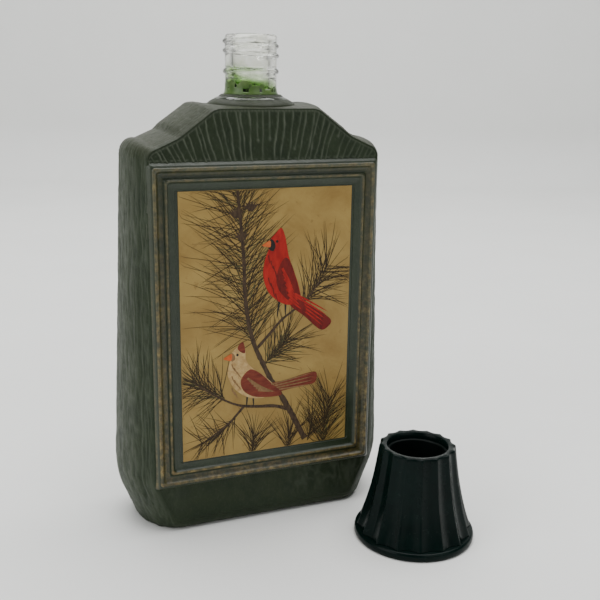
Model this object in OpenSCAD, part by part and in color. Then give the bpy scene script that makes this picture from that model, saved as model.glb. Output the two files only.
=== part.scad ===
// A flat flask of clear glass in a moulded green coat, with a framed picture on
// its front. Its fluted screw cap stands beside it on its wide end, mouth up.
// The origin is the centre of the base, the front faces -Y, and Z is up.

/* [Bottle body] */
// Height of the shoulder flat at the front edge
shoulder_height = 149.8; // [145:0.1:155]
// Width of the flat front face
front_width = 82.2; // [80:0.2:90]
// Depth of the body
body_depth = 36.2; // [34:0.2:42]
// How far the sides swell past the front face at the shoulder
side_swell = 3.9; // [3:0.1:6]
// How much more the sides swell at the base
base_swell = 7.6; // [5:0.1:9]
// Share by which the swell is fuller towards the back
back_fullness = 0.18; // [0:0.01:0.3]
// Share of the swell that the shoulder flat does without
crown_loss = 0.73; // [0.6:0.01:0.85]

/* [Walls] */
// Thickness of the moulded coat
coat_thickness = 0.8; // [0.6:0.05:1.2]
// Thickness of the glass wall
glass_wall = 3; // [2.2:0.1:3.6]

/* [Neck] */
// Height of the rim above the base
rim_height = 174.2; // [173:0.1:176]
// Radius of the neck between the threads
neck_radius = 9; // [8.9:0.05:9.1]
// Radius over the thread crests and the bead
thread_radius = 9.8; // [9.7:0.05:9.85]
// Radius of the bore
bore_radius = 6.2; // [5:0.1:7]
// Rise of the thread in one turn
thread_pitch = 3.175; // [3:0.005:3.3]
// Turns of thread on the neck
thread_turns = 2; // [1.5:0.05:2]

/* [Picture] */
// Width of the picture
picture_width = 63.2; // [56:0.2:64]
// Height of the picture
picture_height = 96.2; // [88:0.1:98]
// Height of the picture's lower edge above the base
picture_foot = 27; // [26:0.1:32]
// Thickness of the picture sheet
picture_thickness = 0.2; // [0.1:0.05:0.3]

/* [Cap] */
// Height of the cap
cap_height = 34.4; // [34:0.1:37]
// Radius over the ridges at the mouth
cap_mouth_radius = 13.6; // [13.3:0.05:13.8]
// Radius of the end disc
cap_disc_radius = 21.6; // [21:0.1:22]
// Number of flutes round the cap
flute_count = 16; // [12:1:20]
// Depth of a flute at the mouth
flute_depth = 0.9; // [0.5:0.05:1]
// Distance of the standing cap to the right of the bottle's axis
cap_right = 46; // [40:0.2:60]
// Distance of the standing cap in front of the bottle's axis
cap_front = 48.2; // [46:0.2:70]

/* [Hidden] */

// Fits
bond_gap = 0.02;     // between the coat and the glass under it
edge_gap = 0.05;     // round a piece that lies in a pocket
overlap = 0.5;       // how deep a raised part is rooted in what carries it

// Outline of the front face, from the shoulder flat to the base
flat_half = 15.9;    // half width of the shoulder flat
brow_radius = 6;
brow_slope = 36.6;   // how steeply the shoulder falls
slope_foot = 29.2;   // how far out the steep part ends
cove_radius = 14;
ledge_slope = 23.9;  // fall of the ledge beside the slope
corner_radius = 4.2;
hip_height = 24;
hip_radius = 21.2;
hip_lean = 24.3;     // lean of the cut-in sides below the hip
heel_radius = 5.6;
base_edge = 4.1;     // rounding of the base's front and back edges
base_flat = 0.3;     // how much of that rounding the flat base cuts off
swell_power = 1.17;  // a lower power makes the sides boxier
half_front = front_width / 2;
half_depth = body_depth / 2;

// Picture frame: half sizes grow outwards from the picture's edge
inner_bead = 2.6;
outer_bead = 6.6;
plate_reach = 9;
bead_width = 2;
plate_rise = 0.5;
inner_rise = 1.1;
outer_rise = 1.5;

// Neck, collar and base pad
collar_radius = 14.9;
collar_top = 154.1;
collar_root = 146;
bead_height = 161.8;
thread_start_angle = -95.4;
thread_start_height = 166.4;
thread_foot = 0.85;  // half height of a thread at its root
thread_crest = 0.35; // half height of a thread at its crest
pad_half = [27, 11.5];
pad_corner = 6;

// Cap
disc_thickness = 3;
disc_spigot_radius = 17.6;
disc_spigot_depth = 1.4;
shell_wall = 2.2;    // from the ridges to the inside
straight_gain = 4.2; // steady widening from mouth to foot
flare_gain = 2.85;   // extra widening of the flared foot
flare_power = 2.7;
foot_flute = 1.5;    // depth of a flute at the foot
mouth_bore = 10.8;
lip_height = 2.5;
insert_radius = 11.4;
insert_bore = 10.05;
insert_crest = 9.2;  // radius to the crests of the inner thread
insert_end = 1.4;    // thickness of the insert's closed end
liner_depth = 19.4;  // from the mouth to the face that seals on the rim
liner_thickness = 1.2;
liner_radius = 9.9;
insert_foot = cap_height - liner_depth - liner_thickness - insert_end;

function normal(a) = [cos(a), sin(a)];
function mean(v) = v * [for (x = v) 1] / len(v);
// Points with their outward normals' angle, along an arc round c
function arc(c, r, from, to, n) =
    [for (i = [0:n]) let(a = from + (to - from) * i / n) [c + r * normal(a), a]];
// The same along a hollow arc, whose centre is outside the outline
function cove(c, r, from, to, n) =
    [for (i = [0:n]) let(a = from + (to - from) * i / n) [c - r * normal(a), a]];

// Right half of the front outline, top centre to base centre
function half_outline() =
    let(brow_c = [flat_half, shoulder_height - brow_radius],
        steep = 90 - brow_slope,
        ledge = 90 - ledge_slope,
        brow_end = brow_c + brow_radius * normal(steep),
        run = slope_foot - brow_end[0],
        slope_end = [slope_foot, brow_end[1] - run * tan(brow_slope)],
        cove_c = slope_end + cove_radius * normal(steep),
        cove_end = cove_c - cove_radius * normal(ledge),
        corner_x = half_front - corner_radius,
        ledge_run = corner_x + corner_radius * cos(ledge) - cove_end[0],
        corner_c = [corner_x,
            cove_end[1] - ledge_run * tan(ledge_slope) - corner_radius * sin(ledge)],
        hip_c = [half_front - hip_radius, hip_height],
        hip_end = hip_c + hip_radius * normal(-hip_lean),
        heel_top = heel_radius * (1 - sin(hip_lean)),
        heel_x = hip_end[0] - (hip_end[1] - heel_top) * tan(hip_lean)
            - heel_radius * cos(hip_lean))
    concat([[[0, shoulder_height], 90]],
        arc(brow_c, brow_radius, 90, steep, 4),
        cove(cove_c, cove_radius, steep, ledge, 2),
        arc(corner_c, corner_radius, ledge, 0, 7),
        arc(hip_c, hip_radius, 0, -hip_lean, 3),
        arc([heel_x, heel_radius], heel_radius, -hip_lean, -90, 6),
        [[[0, 0], -90]]);

// How far a point of the outline moves out at depth angle d, where 90 is the front
function swell(p, d) =
    let(a = p[1],
        side = side_swell + base_swell * (1 - p[0][1] / shoulder_height),
        high = a > 0 ? 1 - crown_loss * pow(sin(a), 6) : 1,
        low = min(1, (1 + sin(a)) / (1 - sin(hip_lean))))
    low * high * side * pow(max(cos(d), 0), swell_power) * (1 + back_fullness * sin(d))
        + (1 - low) * (base_flat - base_edge * pow(1 - cos(d), 3));

// One closed ring of the body at depth angle d, t inside the outer surface
function body_ring(d, t) =
    let(half = half_outline(), n = len(half),
        whole = concat(half, [for (i = [n - 2:-1:1])
            [[-half[i][0][0], half[i][0][1]], 180 - half[i][1]]]))
    [for (p = whole)
        let(q = p[1] > 90 ? [p[0], 180 - p[1]] : p,
            o = swell(q, d) - t,
            xz = p[0] + o * normal(p[1]))
        [xz[0], (half_depth - t) * sin(d), max(xz[1], t)]];

// A stack of rings, closed at each end by a fan round the ring's middle point.
// Seen from outside the first ring, the points run clockwise
module ring_stack(rings) {
    m = len(rings[0]);
    n = len(rings);
    middles = [for (r = [rings[0], rings[n - 1]]) [for (k = [0:2]) mean([for (p = r) p[k]])]];
    sides = [for (i = [0:n - 2]) for (j = [0:m - 1])
        let(a = i * m + j, b = i * m + (j + 1) % m)
        each [[a, a + m, b], [b, a + m, b + m]]];
    ends = [for (j = [0:m - 1]) let(k = (j + 1) % m, last = (n - 1) * m)
        each [[n * m, j, k], [n * m + 1, last + k, last + j]]];
    polyhedron(concat([for (r = rings) each r], middles), concat(sides, ends), 4);
}

module body(t) {
    ring_stack([for (d = [-90:12:90]) body_ring(d, t)]);
}

module rounded_rect(half, r) {
    square([2 * half[0], 2 * (half[1] - r)], center = true);
    square([2 * (half[0] - r), 2 * half[1]], center = true);
    for (x = [-1, 1]) for (y = [-1, 1])
        translate([x * (half[0] - r), y * (half[1] - r)]) circle(r, $fn = 24);
}

// Draws a flat shape on the front face, centred on the picture;
// it is rooted below the face and rises above it
module on_front(below, above) {
    translate([0, below - half_depth, picture_foot + picture_height / 2])
        rotate([90, 0, 0]) linear_extrude(below + above) children();
}

// A band round the picture, its outer edge reach beyond the picture
module frame_band(reach, width, r) {
    half = [picture_width / 2, picture_height / 2];
    difference() {
        rounded_rect(half + [reach, reach], r);
        rounded_rect(half + [reach - width, reach - width], max(r - width, 0.3));
    }
}

// Outside of the glass neck, grown by g
module neck_solid(g) {
    r = neck_radius + g;
    b = thread_radius + g;
    rotate_extrude($fn = 96) polygon([
        [0, collar_root - 4], [collar_radius - 0.8 + g, collar_root - 4],
        [collar_radius - 0.8 + g, collar_top - 3.2 + g],
        [collar_radius - 1.6 + g, collar_top - 1.5 + g],
        [collar_radius - 2.7 + g, collar_top - 0.8 + g],
        [r + 1.2, collar_top - 0.7 + g], [r + 0.4, collar_top + 0.2 + g],
        [r, collar_top + 1.6], [r, bead_height - 1],
        [b - 0.3, bead_height - 0.6], [b, bead_height],
        [b - 0.3, bead_height + 0.6], [r, bead_height + 1],
        [r, rim_height - 0.8], [r - 0.4, rim_height - 0.2],
        [r - 0.8, rim_height], [0, rim_height]]);
}

// A helical ridge from radius root to radius crest, fading in and out at its ends.
// A crest inside the root makes the thread of a nut
module thread_ridge(root, crest, turns, steps) {
    grow = 30;
    total = 360 * turns;
    side = sign(crest - root);
    ring_stack([for (i = [0:steps])
        let(a = total * i / steps,
            f = min(1, min(a, total - a) / grow + 0.05),
            z = thread_pitch * a / 360,
            c = root + (crest - root) * f)
        [for (p = [[root, thread_foot], [c, thread_crest], [c, -thread_crest],
                    [root, -thread_foot]])
            [p[0] * cos(a), p[0] * sin(a), z + side * p[1]]]]);
}

module glass_bottle() color([0.8, 0.88, 0.84, 0.5]) {
    difference() {
        union() {
            body(coat_thickness + bond_gap);
            neck_solid(0);
            translate([0, 0, thread_start_height]) rotate([0, 0, thread_start_angle])
                thread_ridge(neck_radius - 0.3, thread_radius, thread_turns, 72);
            linear_extrude(coat_thickness + overlap) rounded_rect(pad_half, pad_corner);
        }
        body(coat_thickness + bond_gap + glass_wall);
        translate([0, 0, shoulder_height - 12])
            cylinder(r = bore_radius, h = rim_height - shoulder_height + 13, $fn = 96);
    }
}

module leather_coat() color([0.12, 0.19, 0.13]) {
    difference() {
        union() {
            body(0);
            rotate_extrude($fn = 96) polygon([
                [0, collar_root], [collar_radius, collar_root],
                [collar_radius, collar_top - 2.6], [collar_radius - 0.8, collar_top - 0.9],
                [collar_radius - 2.2, collar_top], [0, collar_top]]);
            on_front(overlap, plate_rise) frame_band(plate_reach, plate_reach - 0.4, 1.6);
            on_front(overlap, inner_rise) frame_band(inner_bead + bead_width, bead_width, 2);
            on_front(overlap, outer_rise) frame_band(outer_bead + bead_width, bead_width, 2.5);
        }
        body(coat_thickness);
        neck_solid(bond_gap);
        translate([0, 0, -1]) linear_extrude(coat_thickness + 2)
            rounded_rect(pad_half + [edge_gap, edge_gap], pad_corner + edge_gap);
        on_front(picture_thickness + edge_gap, 1)
            square([picture_width + 2 * edge_gap, picture_height + 2 * edge_gap],
                center = true);
    }
}

module picture_label() color([0.72, 0.6, 0.36]) {
    on_front(picture_thickness + bond_gap, -bond_gap)
        square([picture_width, picture_height], center = true);
}

module at_cap() {
    translate([cap_right, -cap_front, 0]) children();
}

// Radius over the cap's ridges at height h above its wide end
function cap_radius(h) =
    let(x = (cap_height - h) / (cap_height - disc_thickness))
    cap_mouth_radius + straight_gain * x + flare_gain * pow(x, flare_power);

function flute_cut(h) =
    foot_flute + (flute_depth - foot_flute) * h / cap_height;

module cap_shell() color([0.03, 0.06, 0.05]) at_cap() {
    per_flute = 6;
    m = flute_count * per_flute;
    levels = 10;
    step = (cap_height - disc_thickness) / levels;
    difference() {
        ring_stack([for (i = [0:levels])
            let(h = disc_thickness + i * step)
            [for (j = [0:m - 1])
                let(a = 360 * j / m,
                    r = cap_radius(h) - flute_cut(h) * abs(sin(flute_count * a / 2)))
                [r * cos(a), r * sin(a), h]]]);
        rotate_extrude($fn = 96) polygon(concat(
            [[0, disc_thickness - 1], [disc_spigot_radius, disc_thickness - 1],
             [disc_spigot_radius, disc_thickness + disc_spigot_depth]],
            [for (h = [disc_thickness + disc_spigot_depth + 0.6:2:insert_foot - 0.6])
                [cap_radius(h) - flute_cut(h) - shell_wall, h]],
            [[insert_radius + edge_gap, insert_foot],
             [insert_radius + edge_gap, cap_height - lip_height],
             [mouth_bore, cap_height - lip_height],
             [mouth_bore, cap_height + 1], [0, cap_height + 1]]));
    }
}

module cap_end_disc() color([0.035, 0.06, 0.055]) at_cap() {
    rotate_extrude($fn = 96) polygon([
        [0, 0.4], [cap_disc_radius - 3.4, 0.4], [cap_disc_radius - 3, 0],
        [cap_disc_radius - 0.7, 0], [cap_disc_radius - 0.1, 0.5],
        [cap_disc_radius, 1.2], [cap_disc_radius - 0.2, 2.4],
        [cap_disc_radius - 0.6, disc_thickness - 0.02],
        [disc_spigot_radius - edge_gap, disc_thickness - 0.02],
        [disc_spigot_radius - edge_gap, disc_thickness + disc_spigot_depth - edge_gap],
        [disc_spigot_radius - 1.4, disc_thickness + disc_spigot_depth - edge_gap],
        [disc_spigot_radius - 1.4, 2], [0, 2]]);
}

module cap_insert() color([0.02, 0.035, 0.03]) at_cap() {
    length = cap_height - lip_height - insert_foot;
    union() {
        rotate_extrude($fn = 96) polygon([
            [0, insert_foot], [insert_radius, insert_foot],
            [insert_radius, insert_foot + length - edge_gap],
            [insert_bore, insert_foot + length - edge_gap],
            [insert_bore, insert_foot + insert_end], [0, insert_foot + insert_end]]);
        translate([0, 0, insert_foot + insert_end + liner_thickness + 1.6])
            thread_ridge(insert_bore + 0.3, insert_crest, 2, 72);
    }
}

module cap_liner() color([0.85, 0.83, 0.78]) at_cap() {
    translate([0, 0, insert_foot + insert_end + bond_gap])
        cylinder(r = liner_radius, h = liner_thickness, $fn = 96);
}

glass_bottle();
leather_coat();
picture_label();
cap_shell();
cap_end_disc();
cap_insert();
cap_liner();
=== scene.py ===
# %% [markdown]
# # A glass flask in a moulded green coat
# The real object is a flat glass flask for aftershave. A green coat with the look of
# wrinkled leather covers it up to the neck, and a raised frame on the front holds a
# printed picture. Its fluted cap stands beside it on the table, open mouth up. The
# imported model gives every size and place; this lesson adds the looks around it.

# %% Load the frame
import math

import bpy
import numpy as np
from mathutils import Matrix, Vector, noise


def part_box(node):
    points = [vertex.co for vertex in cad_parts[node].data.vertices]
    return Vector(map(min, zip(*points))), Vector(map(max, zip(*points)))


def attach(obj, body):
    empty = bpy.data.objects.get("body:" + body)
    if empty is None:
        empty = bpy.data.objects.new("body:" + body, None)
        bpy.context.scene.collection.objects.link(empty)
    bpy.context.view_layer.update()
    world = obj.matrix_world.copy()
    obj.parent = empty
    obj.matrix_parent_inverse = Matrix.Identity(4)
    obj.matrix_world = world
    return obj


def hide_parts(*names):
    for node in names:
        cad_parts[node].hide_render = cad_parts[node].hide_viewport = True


MM = 0.001
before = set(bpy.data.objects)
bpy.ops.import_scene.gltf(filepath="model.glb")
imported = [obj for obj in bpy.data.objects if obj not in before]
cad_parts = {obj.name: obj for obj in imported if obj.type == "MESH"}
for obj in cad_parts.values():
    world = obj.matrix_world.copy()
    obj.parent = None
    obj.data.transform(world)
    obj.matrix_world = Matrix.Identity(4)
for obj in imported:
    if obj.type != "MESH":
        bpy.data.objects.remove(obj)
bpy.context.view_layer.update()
bpy.ops.object.select_all(action="DESELECT")
print("CAD nodes:", sorted(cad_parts))

# %% [markdown]
# ## Sizes that the shapes share
# The flask's outline is built from arcs and straight runs, as its mould would be. The
# same few numbers, in millimetres, give the front outline and how far the sides swell
# behind it. The cap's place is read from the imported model.

# %% Driving sizes in millimetres
SHOULDER = 149.8
HALF_FRONT = 41.1
HALF_DEPTH = 18.1
SIDE_SWELL, BASE_SWELL = 3.9, 7.6
SWELL_POWER, BACK_FULLNESS = 1.17, 0.18
CROWN_LOSS = 0.73
BASE_EDGE, BASE_FLAT = 4.1, 0.3
COAT_SHEET = 0.6
FLAT_HALF = 15.9
BROW_RADIUS, BROW_SLOPE = 6.0, 36.6
SLOPE_FOOT = 29.2
COVE_RADIUS, LEDGE_SLOPE = 14.0, 23.9
CORNER_RADIUS = 4.2
HIP_HEIGHT, HIP_RADIUS, HIP_LEAN = 24.0, 21.2, 24.3
HEEL_RADIUS = 5.6
PICTURE = (63.2, 96.2)
PICTURE_FOOT = 27.0
FRAME_REACH = 9.0
RIM, NECK, THREAD = 174.2, 9.0, 9.8
BORE = 6.2
PITCH, TURNS = 3.175, 2.0
THREAD_START, THREAD_ANGLE = 166.4, -95.4
BEAD = 161.8
COLLAR_TOP = 154.1
CAP_HEIGHT, MOUTH_RADIUS = 34.4, 13.6
FLUTES = 16
SHELL_FOOT, SEAT = 3, 17.6
PAD = (27.0, 11.5, 6.0)

low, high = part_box("cap_end_disc")
CAP_AT = Vector(((low.x + high.x) / 2, (low.y + high.y) / 2, 0))
DISC_RADIUS = (high.x - low.x) / 2 / MM
print("cap stands at", [round(v / MM, 1) for v in CAP_AT], "mm, disc radius", round(DISC_RADIUS, 2))

# %% [markdown]
# ## Floor, camera and light
# The stage is one pale sheet that turns up into a backdrop behind the object, with a
# rounded bend, as in a photographer's cove. The camera stands a little to the left of
# the picture side and looks slightly down. Big soft lamps give the quiet, even light
# of a table-top shot.

# %% Stage
VIEW_TURN = math.radians(22.4)
STAGE_BACK = 1.06
bpy.ops.mesh.primitive_plane_add(size=8, location=(0, STAGE_BACK - 4, 0))
stage = bpy.context.object
stage.name = "stage"
bpy.ops.object.mode_set(mode="EDIT")
bpy.ops.mesh.select_all(action="DESELECT")
bpy.ops.object.mode_set(mode="OBJECT")
for edge in stage.data.edges:
    edge.select = all(stage.data.vertices[v].co.y > 3.9 for v in edge.vertices)
bpy.ops.object.mode_set(mode="EDIT")
bpy.ops.mesh.select_mode(type="EDGE")
bpy.ops.mesh.extrude_region_move(TRANSFORM_OT_translate={"value": (0, 0, 4)})
bpy.ops.object.mode_set(mode="OBJECT")
bend = stage.modifiers.new("bend", "BEVEL")
bend.width = 0.08
bend.segments = 10
bend.limit_method = "ANGLE"
bpy.ops.object.modifier_apply(modifier="bend")
bpy.ops.object.shade_smooth()
stage.data.transform(Matrix.Rotation(-VIEW_TURN, 4, "Z") @ stage.matrix_world)
stage.matrix_world = Matrix.Identity(4)

# %% Camera
camera_data = bpy.data.cameras.new("camera")
camera = bpy.data.objects.new("camera", camera_data)
bpy.context.scene.collection.objects.link(camera)
tilt = Matrix.Rotation(math.radians(90 - 14.65), 4, "X") @ Matrix.Rotation(math.radians(0.84), 4, "Z")
camera.matrix_world = (Matrix.Translation((-0.10222, -0.29611, 0.16142))
                       @ Matrix.Rotation(-VIEW_TURN, 4, "Z") @ tilt)
camera_data.lens = 52.06
camera_data.sensor_width = 36
bpy.context.scene.camera = camera


# %% Lamps
def soft_lamp(name, place, aim, size, power, colour=(1, 1, 1)):
    data = bpy.data.lights.new(name, "AREA")
    data.shape = "RECTANGLE"
    data.size, data.size_y = size
    data.energy = power
    data.color = colour
    lamp = bpy.data.objects.new(name, data)
    lamp.location = place
    lamp.rotation_euler = (Vector(aim) - Vector(place)).to_track_quat("-Z", "Y").to_euler()
    bpy.context.scene.collection.objects.link(lamp)
    return lamp


middle = (0, 0, 0.08)
soft_lamp("overhead_softbox", (0.1, 0.15, 1.3), middle, (1.6, 1.2), 33)
soft_lamp("left_softbox", (-1.3, -0.3, 0.7), middle, (1.0, 1.0), 9)
soft_lamp("front_fill", (0.5, -1.5, 0.8), middle, (1.4, 0.9), 5)
world = bpy.data.worlds.new("room")
world.use_nodes = True
world.node_tree.nodes["Background"].inputs["Color"].default_value = (0.86, 0.88, 0.87, 1)
world.node_tree.nodes["Background"].inputs["Strength"].default_value = 0.22
bpy.context.scene.world = world

# %% [markdown]
# ## Shader helpers
# Every finish here is worked out from noise, so each needs the same few nodes. Small
# functions place them and join them up, and two shared groups hold what several
# materials use: a mottled mix of two colours, and a fine moulded grain.


# %% Node helpers
def new_material(name, **values):
    """A material with its Principled shader; the values are set on the shader's own sockets."""
    made = bpy.data.materials.new(name)
    made.use_nodes = True
    shader = made.node_tree.nodes["Principled BSDF"]
    for socket, value in values.items():
        shader.inputs[socket.replace("_", " ")].default_value = value
    return made, made.node_tree, shader


def add(tree, kind, links=None, **settings):
    """Adds a node, sets what is named and joins its inputs: an output is joined, a value is set."""
    node = tree.nodes.new(kind)
    for key, value in settings.items():
        setattr(node, key, value)
    for socket, source in (links or {}).items():
        if isinstance(source, bpy.types.NodeSocket):
            tree.links.new(source, node.inputs[socket])
        else:
            node.inputs[socket].default_value = source
    return node


def math_node(tree, operation, a, b=None, clamp=False):
    links = {0: a} if b is None else {0: a, 1: b}
    return add(tree, "ShaderNodeMath", links, operation=operation, use_clamp=clamp).outputs[0]


def blend_colours(tree, factor, a, b, kind="MIX"):
    node = add(tree, "ShaderNodeMix", data_type="RGBA", blend_type=kind)
    for socket, source in ((0, factor), (6, a), (7, b)):
        if isinstance(source, bpy.types.NodeSocket):
            tree.links.new(source, node.inputs[socket])
        else:
            node.inputs[socket].default_value = source
    return node.outputs[2]


def steps(tree, value, low_end, high_end, low_out=0.0, high_out=1.0):
    """Maps a value's range onto another, clamped at both ends."""
    links = {0: value, 1: low_end, 2: high_end, 3: low_out, 4: high_out}
    return add(tree, "ShaderNodeMapRange", links).outputs[0]


def place(tree, scale=(1, 1, 1), turn=(0, 0, 0)):
    """Object coordinates in millimetres, stretched by scale."""
    where = add(tree, "ShaderNodeTexCoord").outputs["Object"]
    size = [1000 * s for s in scale]
    return add(tree, "ShaderNodeMapping", {"Vector": where, "Scale": size, "Rotation": turn}).outputs[0]


def noise_at(tree, where, scale, detail=4.0, rough=0.55, warp=0.0):
    links = {"Vector": where, "Scale": scale, "Detail": detail, "Roughness": rough, "Distortion": warp}
    return add(tree, "ShaderNodeTexNoise", links).outputs["Fac"]


def bump(tree, height, strength, distance, under=None):
    links = {"Height": height, "Strength": strength, "Distance": distance}
    if under is not None:
        links["Normal"] = under
    return add(tree, "ShaderNodeBump", links).outputs["Normal"]


def new_group(name, inputs, outputs):
    group = bpy.data.node_groups.new(name, "ShaderNodeTree")
    for label, kind, value in inputs:
        socket = group.interface.new_socket(label, in_out="INPUT", socket_type=kind)
        socket.default_value = value
    for label, kind in outputs:
        group.interface.new_socket(label, in_out="OUTPUT", socket_type=kind)
    return group, add(group, "NodeGroupInput").outputs, add(group, "NodeGroupOutput").inputs


def use_group(tree, group, **values):
    node = add(tree, "ShaderNodeGroup", node_tree=group)
    for label, value in values.items():
        socket = node.inputs[label.replace("_", " ")]
        if isinstance(value, bpy.types.NodeSocket):
            tree.links.new(value, socket)
        else:
            socket.default_value = value
    return node.outputs


# %% Shared groups
mottle, given, out = new_group(
    "uneven_colour",
    [("Thin", "NodeSocketColor", (0, 0, 0, 1)), ("Thick", "NodeSocketColor", (1, 1, 1, 1)),
     ("Size", "NodeSocketFloat", 0.2)],
    [("Color", "NodeSocketColor"), ("Mask", "NodeSocketFloat")])
where = place(mottle)
patches = noise_at(mottle, where, given["Size"], 5, 0.6)
mask = steps(mottle, patches, 0.35, 0.65)
mottle.links.new(blend_colours(mottle, mask, given["Thin"], given["Thick"]), out["Color"])
mottle.links.new(mask, out["Mask"])

grain, given, out = new_group(
    "moulded_grain",
    [("Size", "NodeSocketFloat", 1.0), ("Pits", "NodeSocketFloat", 0.5)],
    [("Height", "NodeSocketFloat")])
where = place(grain)
fine = noise_at(grain, where, given["Size"], 3, 0.6)
cells = add(grain, "ShaderNodeTexVoronoi", {"Vector": where, "Scale": given["Size"]}).outputs["Distance"]
pit = math_node(grain, "MULTIPLY", steps(grain, cells, 0.0, 0.25, 1.0, 0.0), given["Pits"])
grain.links.new(math_node(grain, "SUBTRACT", fine, pit), out["Height"])
print("shared shader groups:", mottle.name, grain.name)

# %% [markdown]
# ## The finishes
# The coat is a satin plastic whose wrinkle crests are painted paler than the hollows, a
# painted highlight. An attribute called crest, written when the wrinkles are pressed in,
# carries that, and upward faces get a painted sheen. The frame has the same green under
# antique gold, which an attribute called rub places; its crest attribute paints highlights.


# %% Green coat
def coat_material(name, with_gold):
    made, tree, shader = new_material(name, Roughness=0.5, Specular_IOR_Level=0.45 if with_gold else 0.2)
    body = use_group(tree, mottle, Thin=(0.0095, 0.018, 0.0065, 1), Thick=(0.017, 0.027, 0.0105, 1),
                     Size=0.12)["Color"]
    # Wrinkle crests are painted lighter than the hollows: a painted highlight.
    crest = add(tree, "ShaderNodeAttribute", attribute_name="crest").outputs["Fac"]
    colour = blend_colours(tree, crest, body, (0.09, 0.104, 0.074, 1))
    # Painted sheen: faces that point up are painted a paler grey-brown, broken into streaks, standing in for
    # the satin reflection.
    smooth_top = add(tree, "ShaderNodeAttribute", attribute_name="smooth_top").outputs["Fac"]
    sheen_streaks = noise_at(tree, place(tree, (1, 0.12, 1)), 2.2, 4, 0.6)
    painted_top_sheen = math_node(tree, "MULTIPLY", smooth_top, steps(tree, sheen_streaks, 0.35, 0.7, 0.35, 0.75))
    colour = blend_colours(tree, painted_top_sheen, colour, (0.036, 0.036, 0.022, 1))
    fleck = steps(tree, noise_at(tree, place(tree, (1, 1, 0.6)), 1.5, 5, 0.7), 0.5, 0.75, 0.0, 0.3)
    colour = blend_colours(tree, fleck, colour, (0.055, 0.062, 0.042, 1))
    height = use_group(tree, grain, Size=1.6, Pits=0.5)["Height"]
    rough = steps(tree, noise_at(tree, place(tree), 0.5, 4), 0.3, 0.7, 0.42, 0.58)
    if with_gold:
        rub = add(tree, "ShaderNodeAttribute", attribute_name="rub").outputs["Fac"]
        worn = noise_at(tree, place(tree), 0.3, 6, 0.68)
        gold_mask = math_node(tree, "MULTIPLY", rub, steps(tree, worn, 0.38, 0.64, 0.12, 1.0), clamp=True)
        tone = noise_at(tree, place(tree), 0.8, 4)
        tone = steps(tree, tone, 0.35, 0.65)
        gold = blend_colours(tree, tone, (0.1, 0.055, 0.012, 1), (0.3, 0.22, 0.07, 1))
        colour = blend_colours(tree, gold_mask, colour, gold)
        rough = math_node(tree, "MULTIPLY", rough, 0.72)
    tree.links.new(colour, shader.inputs["Base Color"])
    tree.links.new(rough, shader.inputs["Roughness"])
    tree.links.new(bump(tree, height, 0.4, 0.0002), shader.inputs["Normal"])
    return made


green_coat = coat_material("green_coat", False)
gilt_coat = coat_material("green_and_gold", True)

# %% Clear glass
clear_glass, tree, shader = new_material(
    "clear_glass", Roughness=0.03, IOR=1.5, Transmission_Weight=1.0, Metallic=0.0)
along_axes = add(tree, "ShaderNodeSeparateXYZ", {"Vector": place(tree)}).outputs
across_neck, height_above = along_axes["X"], along_axes["Z"]
ragged = noise_at(tree, place(tree), 0.25, 5, 0.6)
level = math_node(tree, "ADD", height_above, math_node(tree, "MULTIPLY", ragged, 9.0))
level = math_node(tree, "ADD", level, math_node(tree, "MULTIPLY", across_neck, 0.3))
film = steps(tree, level, 161.5, 167.5, 1.0, 0.0)
tint = steps(tree, noise_at(tree, place(tree), 0.35, 4), 0.4, 0.7)
clear = blend_colours(tree, tint, (0.97, 0.975, 0.955, 1), (0.9, 0.905, 0.82, 1))
dense = blend_colours(tree, tint, (0.24, 0.42, 0.1, 1), (0.13, 0.31, 0.04, 1))
tree.links.new(blend_colours(tree, film, clear, dense), shader.inputs["Base Color"])

# %% Cap plastics
cap_plastic, tree, shader = new_material(
    "cap_plastic", Roughness=0.2, Specular_IOR_Level=0.09)
shade = use_group(tree, mottle, Thin=(0.0008, 0.0042, 0.0036, 1), Thick=(0.0016, 0.0075, 0.0062, 1),
                  Size=0.08)
tree.links.new(shade["Color"], shader.inputs["Base Color"])
polish = steps(tree, noise_at(tree, place(tree), 0.3, 5), 0.3, 0.7, 0.17, 0.3)
tree.links.new(polish, shader.inputs["Roughness"])
tree.links.new(bump(tree, noise_at(tree, place(tree), 0.7, 3), 0.12, 0.0002), shader.inputs["Normal"])

insert_plastic, tree, shader = new_material("insert_plastic", Roughness=0.45, Specular_IOR_Level=0.12)
shade = use_group(tree, mottle, Thin=(0.0012, 0.003, 0.0026, 1), Thick=(0.0022, 0.005, 0.0042, 1), Size=0.2)
tree.links.new(shade["Color"], shader.inputs["Base Color"])
tree.links.new(bump(tree, use_group(tree, grain, Size=1.2, Pits=0.2)["Height"], 0.15, 0.0001),
               shader.inputs["Normal"])

liner_foam, tree, shader = new_material("liner_foam", Roughness=0.75)
shade = use_group(tree, mottle, Thin=(0.004, 0.005, 0.0045, 1), Thick=(0.008, 0.009, 0.008, 1), Size=0.3)
tree.links.new(shade["Color"], shader.inputs["Base Color"])
tree.links.new(bump(tree, use_group(tree, grain, Size=2.0, Pits=0.6)["Height"], 0.4, 0.0001),
               shader.inputs["Normal"])

# %% Stage and print materials
stage_paint, tree, shader = new_material("stage_paint", Roughness=0.85)
shade = use_group(tree, mottle, Thin=(0.76, 0.765, 0.745, 1), Thick=(0.78, 0.785, 0.765, 1), Size=0.01)
tree.links.new(shade["Color"], shader.inputs["Base Color"])
stage.data.materials.append(stage_paint)


def ink(name, thin, thick, size=0.6, streak=(1, 1, 1), turn=0.0):
    """A printed colour: two tones in streaks."""
    made, tree, shader = new_material(name, Roughness=0.5, Specular_IOR_Level=0.22)
    where = place(tree, streak, (0, turn, 0))
    mask = steps(tree, noise_at(tree, where, size, 5, 0.6, 0.4), 0.35, 0.65)
    tree.links.new(blend_colours(tree, mask, thin, thick), shader.inputs["Base Color"])
    return made


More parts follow.
